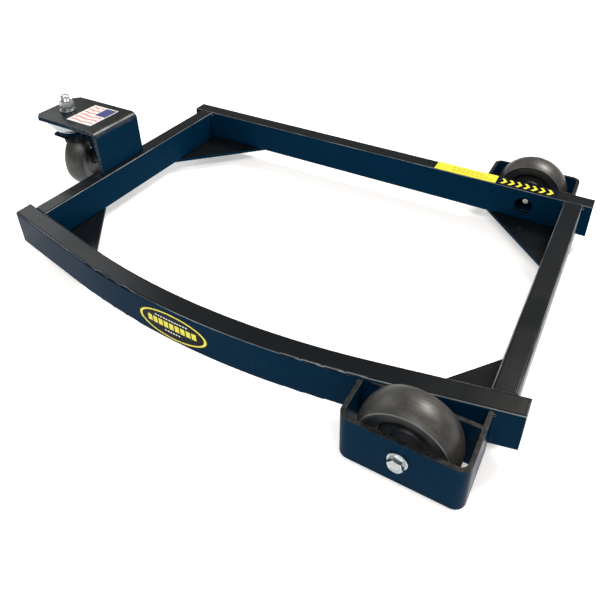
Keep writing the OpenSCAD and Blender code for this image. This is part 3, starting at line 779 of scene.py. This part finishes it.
def swivel_cup():
    """Pressed bowl under the bracket: a flange, the bowl, and a rolled lip over the balls."""
    bm = bmesh.new()
    top = bracket_top - BRACKET_T
    rim = CROWN_Z + 4.6 * MM
    bowl_r = top - rim + 3.7 * MM
    centre_r, centre_z = CUP_R - bowl_r, top + 1.5 * MM
    profile = [(STEM_R + 0.1 * MM, top), (CUP_R - 0.4 * MM, top), (CUP_R, top - 0.4 * MM),
               (CUP_R, top - 1.9 * MM), (CUP_R - 0.9 * MM, top - 2.5 * MM)]
    for k in range(18):
        z = top - 3.2 * MM + (rim + 1.4 * MM - top + 3.2 * MM) * k / 17
        profile.append((centre_r + math.sqrt(bowl_r ** 2 - (z - centre_z) ** 2) - 0.5 * MM, z))
    last = profile[-1][0]
    profile += [(last + 0.1 * MM, rim + 0.9 * MM), (last - 0.5 * MM, rim + 0.2 * MM),
                (last - 1.2 * MM, rim), (15 * MM, rim), (15 * MM, rim + 5.4 * MM),
                (STEM_R + 0.1 * MM, rim + 5.4 * MM)]
    lathe(bm, profile, 120)
    add_piece(bm, "pressed_cup", zinc_cup, "frame", ("swivel_cup",), 34, stem_base)


def leg_edges(z):
    """Front and back of a fork leg at height z, along the direction of trail."""
    def between(stops):
        for (z0, y0), (z1, y1) in zip(stops, stops[1:]):
            if z <= z1:
                return y0 + (y1 - y0) * max(0.0, z - z0) / (z1 - z0)
        return stops[-1][1]

    axle_z, r = caster_centre.z, 15 * MM
    low_z = axle_z - r * math.sin(math.radians(35))
    high_z = axle_z + r * math.sin(math.radians(20))
    round_half = math.sqrt(max(0.0, r * r - (z - axle_z) ** 2))
    front = trail - round_half
    if z > low_z:
        front = between([(low_z, trail - r * math.cos(math.radians(35))),
                         (CROWN_Z - 20 * MM, 6 * MM), (CROWN_Z - 4 * MM, -14 * MM),
                         (CROWN_Z, -16 * MM), (CROWN_Z + SHEET_T, -16 * MM)])
    back = trail + round_half
    if z > high_z:
        back = between([(high_z, trail + r * math.cos(math.radians(20))),
                        (CROWN_Z - 8 * MM, 19 * MM), (CROWN_Z, 18 * MM),
                        (CROWN_Z + SHEET_T, 18 * MM)])
    return front, back


def fork():
    """Fork pressed from one sheet: two legs bent down from a round-edged crown."""
    top, bend = CROWN_Z + SHEET_T, 7 * MM
    foot = caster_centre.z - 14.9 * MM
    path = []
    for k in range(26):
        rise = 1 - (1 - k / 25) ** 1.25
        path.append((-FORK_HALF, foot + (top - bend - foot) * rise, -1.0, 0.0))
    for k in range(1, 8):
        a = math.radians(180 - 90 * k / 7)
        path.append((-FORK_HALF + bend + bend * math.cos(a), top - bend + bend * math.sin(a),
                     math.cos(a), math.sin(a)))
    for k in range(1, 12):
        path.append(((FORK_HALF - bend) * (k / 12 - 1.0), top, 0.0, 1.0))
    path.append((0.0, top, 0.0, 1.0))
    path += [(-x, z, -nx, nz) for x, z, nx, nz in reversed(path[:-1])]
    across = 10
    bm = bmesh.new()
    rings = []
    for x, z, nx, nz in path:
        front, back = leg_edges(min(z, top))
        if abs(x) < 20.9 * MM:
            disc = math.sqrt((21 * MM) ** 2 - x * x)
            front, back = min(front, -disc), max(back, disc)
        outer = [(x, front + (back - front) * j / across, z) for j in range(across + 1)]
        inner = [(px - nx * SHEET_T, py, pz - nz * SHEET_T) for px, py, pz in reversed(outer)]
        rings.append(outer + inner)
    stack_rings(bm, rings)
    hard = [e for e in bm.edges
            if len(e.link_faces) == 2 and e.calc_face_angle(0.0) > math.radians(55)]
    bmesh.ops.bevel(bm, geom=hard, offset=0.6 * MM, segments=2, profile=0.5, affect="EDGES",
                    clamp_overlap=True)
    weighted(add_piece(bm, "pressed_fork", enamel_fork, "caster_fork",
                       ("fork_crown", "fork_legs"), 40, fork_frame))


stem()
washer("stem_flat_washer", stem_base @ Matrix.Translation((0, 0, bracket_top)), 12 * MM,
       STEM_R + 0.15 * MM, STEM_WASHER_T, zinc, "frame", ("stem_washer",))
lock_washer(bracket_top + STEM_WASHER_T)
stem_nut(bracket_top + STEM_WASHER_T + LOCK_WASHER_T)
swivel_cup()
fork()

head_face = caster_centre - caster_axis * FORK_HALF
washer("caster_washer", aimed(head_face, -caster_axis), WASHER_R, AXLE_R + 0.15 * MM, WASHER_T,
       enamel_fork, "caster_fork", ("caster_axle_washers",))
hex_head("caster_bolt", aimed(head_face - caster_axis * WASHER_T, -caster_axis, 0.2), AXLE_HEX,
         HEAD_H, enamel_fork, "caster_fork", ("caster_axle_bolt",),
         (AXLE_R, 2 * FORK_HALF + WASHER_T + NUT_H + 2 * MM))
nylock("caster_nut", aimed(caster_centre + caster_axis * FORK_HALF, caster_axis), AXLE_HEX,
       NUT_H, AXLE_R + 0.05 * MM, enamel_fork, "caster_fork", ("caster_axle_nut",))


# ---------------------------------------------------------------- plain decals


def on_bow(centre_x, centre_z):
    def surface(u, v, lift):
        x = centre_x + u
        a = bow_angle(x)
        return Vector((x + math.sin(a) * lift, bow_y(x) - math.cos(a) * lift, centre_z + v))
    return surface


def on_top(x0, y0, z):
    return lambda u, v, lift: Vector((x0 + u, y0 + v, z + lift))


def strip(bm, surface, columns, low, high):
    """Thin closed film over a surface from columns of (u, v_low, v_high)."""
    stack_rings(bm, [[surface(u, a, low), surface(u, b, low), surface(u, b, high),
                      surface(u, a, high)] for u, a, b in columns])


def block(bm, surface, u, v, width, height, low, high, slant=0.0):
    """A small plain mark, optionally leaning."""
    quad = [(u, v), (u + width, v), (u + width + slant, v + height), (u + slant, v + height)]
    stack_rings(bm, [[surface(a, b, low) for a, b in quad], [surface(a, b, high) for a, b in quad]])


def decal(name, material, build):
    bm = bmesh.new()
    build(bm)
    return add_piece(bm, name, material, "frame", sharp=50)


def oval(half_u, half_v, steps=56):
    out = []
    for k in range(1, steps):
        a = math.pi * k / steps
        u, v = -half_u * math.cos(a), half_v * math.sin(a)
        out.append((u, -v, v))
    return out


def oval_ring(bm, surface, outer, inner, low, high, steps=96):
    rings = []
    for k in range(steps):
        a = 2 * math.pi * k / steps
        o = (outer[0] * math.cos(a), outer[1] * math.sin(a))
        i = (inner[0] * math.cos(a), inner[1] * math.sin(a))
        rings.append([surface(*i, low), surface(*o, low), surface(*o, high), surface(*i, high)])
    stack_rings(bm, rings, closed=True)


# Heights above the paint: a film's face, a mark's foot just inside it, and a mark's face
BASE, FOOT, MARK = 0.14 * MM, 0.12 * MM, 0.20 * MM
badge = on_bow(end_x0 + 317 * MM, rail_z0 + 24.5 * MM)

decal("badge_field", film_black,
      lambda bm: strip(bm, badge, oval(52 * MM, 21.2 * MM), -0.1 * MM, BASE))
decal("badge_ring", film_yellow,
      lambda bm: oval_ring(bm, badge, (50 * MM, 19.5 * MM), (46.4 * MM, 17.6 * MM),
                           FOOT, MARK))


def badge_bars(bm):
    for k in range(9):
        block(bm, badge, (-36.5 + 8.2 * k) * MM, -4.2 * MM, 6.4 * MM, 9.4 * MM,
              FOOT, MARK)


def badge_dashes(bm):
    for k in range(12):
        block(bm, badge, (-24 + 4.1 * k) * MM, 8.6 * MM, 2.6 * MM, 1.8 * MM, FOOT, MARK)
    for k in range(6):
        block(bm, badge, (-12 + 4.1 * k) * MM, -10.2 * MM, 2.6 * MM, 1.8 * MM,
              FOOT, MARK)


decal("badge_bars", film_yellow, badge_bars)
decal("badge_dashes", film_white, badge_dashes)

tape = on_top(end_x0, rear_lo.y + 1.2 * MM, rail_z1)
TAPE_W = 22.6 * MM
tape_yellow, tape_black, tape_end = 467 * MM, 562 * MM, 650 * MM
decal("tape_yellow", film_yellow,
      lambda bm: strip(bm, tape, [(tape_yellow, 0, TAPE_W), (tape_black, 0, TAPE_W)],
                       -0.1 * MM, BASE))
decal("tape_black", film_black,
      lambda bm: strip(bm, tape, [(tape_black + 0.1 * MM, 0, TAPE_W), (tape_end, 0, TAPE_W)],
                       -0.1 * MM, BASE))


def tape_chevrons(bm):
    for k in range(7):
        u = tape_black + (6 + 11.2 * k) * MM
        for low_v, lean in ((4 * MM, 5 * MM), (11.3 * MM, -5 * MM)):
            block(bm, tape, u + (0 if lean > 0 else 5 * MM), low_v, 4.6 * MM, 7.3 * MM,
                  FOOT, MARK, lean)


def tape_lines(bm):
    for row in range(3):
        for k in range(9 - row):
            block(bm, tape, tape_yellow + (26 + 7.2 * k) * MM, (5.0 + 5.2 * row) * MM, 5.4 * MM,
                  1.1 * MM, FOOT, MARK)


decal("tape_chevrons", film_yellow, tape_chevrons)
decal("tape_lines", film_olive, tape_lines)

label = on_top(end_x0 - 47 * MM, bracket_lo.y + 15.5 * MM, bracket_top)
LABEL_U, LABEL_V = 51 * MM, 59 * MM
decal("label_sheet", film_white,
      lambda bm: strip(bm, label, [(0, 0, LABEL_V), (LABEL_U, 0, LABEL_V)], -0.1 * MM, BASE))


def label_stripes(bm):
    for k in range(6):
        v = (5 + 9.2 * k) * MM
        reach = LABEL_U - (25 if k > 2 else 3) * MM
        wave = [(3 * MM + (reach - 3 * MM) * i / 12, v + 1.3 * MM * math.sin(i * 0.75),
                 v + 3.0 * MM + 1.3 * MM * math.sin(i * 0.75)) for i in range(13)]
        strip(bm, label, wave, FOOT, MARK)


decal("label_stripes", film_red, label_stripes)
decal("label_panel", film_blue,
      lambda bm: strip(bm, label, [(28 * MM, 31 * MM, 57 * MM), (49.5 * MM, 31 * MM, 57 * MM)],
                       FOOT, MARK))


# ---------------------------------------------------------------- stage, light, camera


def stage():
    bpy.ops.mesh.primitive_plane_add(size=14, location=(0, 0, 0))
    floor = bpy.context.object
    floor.name = "floor"
    s = Shader("floor_paper")
    s.set(base_color=s.mix(s.noise(3, 3, 0.5), rgb(0.86, 0.86, 0.86), rgb(0.89, 0.89, 0.89)),
          roughness=0.85)
    s.bsdf.inputs["Emission Color"].default_value = rgb(1, 1, 1)
    s.bsdf.inputs["Emission Strength"].default_value = 0.42
    floor.data.materials.append(s.material)


def softbox(name, place, target, size, power, colour=(1.0, 1.0, 1.0)):
    data = bpy.data.lights.new(name, "AREA")
    data.shape = "RECTANGLE"
    data.size, data.size_y = size
    data.energy = power
    data.color = colour
    light = bpy.data.objects.new(name, data)
    bpy.context.scene.collection.objects.link(light)
    place, target = Vector(place), Vector(target)
    light.location = place
    light.rotation_euler = (place - target).to_track_quat("Z", "Y").to_euler()


def world(colour, strength):
    made = bpy.data.worlds.new("studio")
    made.use_nodes = True
    background = made.node_tree.nodes["Background"]
    background.inputs["Color"].default_value = rgb(*colour)
    background.inputs["Strength"].default_value = strength
    bpy.context.scene.world = made


def camera():
    """Camera by azimuth, elevation and roll in degrees, focal length in mm, lens shift as
    shares of the picture's width, and a place in metres from the bowed rail's left end."""
    azimuth, elevation, roll = (math.radians(a) for a in (29.098, 32.497, -0.259))
    back = Vector((math.sin(azimuth) * math.cos(elevation),
                   -math.cos(azimuth) * math.cos(elevation), math.sin(elevation)))
    right = Vector((math.cos(azimuth), math.sin(azimuth), 0))
    up = back.cross(right)
    level, upward = (right * math.cos(roll) + up * math.sin(roll),
                     up * math.cos(roll) - right * math.sin(roll))
    data = bpy.data.cameras.new("camera")
    data.lens = 36.02
    data.shift_x, data.shift_y = -0.026316, -0.179276
    data.clip_start = 0.02
    eye = bpy.data.objects.new("camera", data)
    bpy.context.scene.collection.objects.link(eye)
    matrix = Matrix((level, upward, back)).transposed().to_4x4()
    matrix.translation = Vector((end_x0 + 0.7103, front_y - 0.4069, rail_z0 + 0.5237))
    eye.matrix_world = matrix
    bpy.context.scene.camera = eye


bpy.context.scene.view_settings.view_transform = "Standard"
stage()
world((1.0, 0.97, 0.94), 0.34)
softbox("key", (0.45, -1.35, 1.9), (0, 0, 0), (1.7, 0.30), 34, (1.0, 0.97, 0.93))
softbox("side", (-1.7, 0.5, 1.3), (0, 0, 0), (1.0, 1.0), 8, (0.95, 0.98, 1.0))
softbox("back", (0.87, 1.06, 1.78), (0.315, -0.237, 0.1), (0.8, 0.5), 48, (1.0, 0.94, 0.86))
camera()
